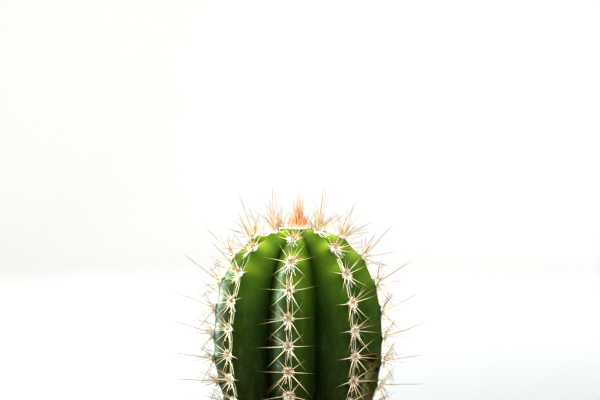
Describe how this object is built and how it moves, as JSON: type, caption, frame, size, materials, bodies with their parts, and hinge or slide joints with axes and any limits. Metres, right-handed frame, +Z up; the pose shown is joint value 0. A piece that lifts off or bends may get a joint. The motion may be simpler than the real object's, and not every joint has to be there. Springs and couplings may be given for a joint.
{
  "type": "potted round cactus",
  "caption": "Young round ribbed cactus with woolly spine rows and an orange crown tuft, growing in potting mix in a plain terracotta pot.",
  "frame": {"origin": "centre of the pot's underside, on the surface that the pot stands on", "axes": "+Z up along the pot's and the stem's axis; -Y is the front, with the foremost rib turned 6 degrees from it"},
  "size_m": [0.097, 0.097, 0.164],
  "materials": {
    "terracotta": "unglazed fired clay, matt",
    "potting_mix": "dark fibrous soil with mineral grit",
    "cactus_skin": "waxy living skin, satin gloss",
    "spines_and_wool": "white felted wool and straw-coloured horny spines",
    "young_spines": "translucent orange young spines"
  },
  "bodies": {
    "root": {"pot": "terracotta", "drain_crock": "terracotta", "potting_mix": "potting_mix", "stem": "cactus_skin", "spine_row_1": "spines_and_wool", "spine_row_2": "spines_and_wool", "spine_row_3": "spines_and_wool", "spine_row_4": "spines_and_wool", "spine_row_5": "spines_and_wool", "spine_row_6": "spines_and_wool", "spine_row_7": "spines_and_wool", "spine_row_8": "spines_and_wool", "crown_tuft": "young_spines"}
  },
  "joints": []
}
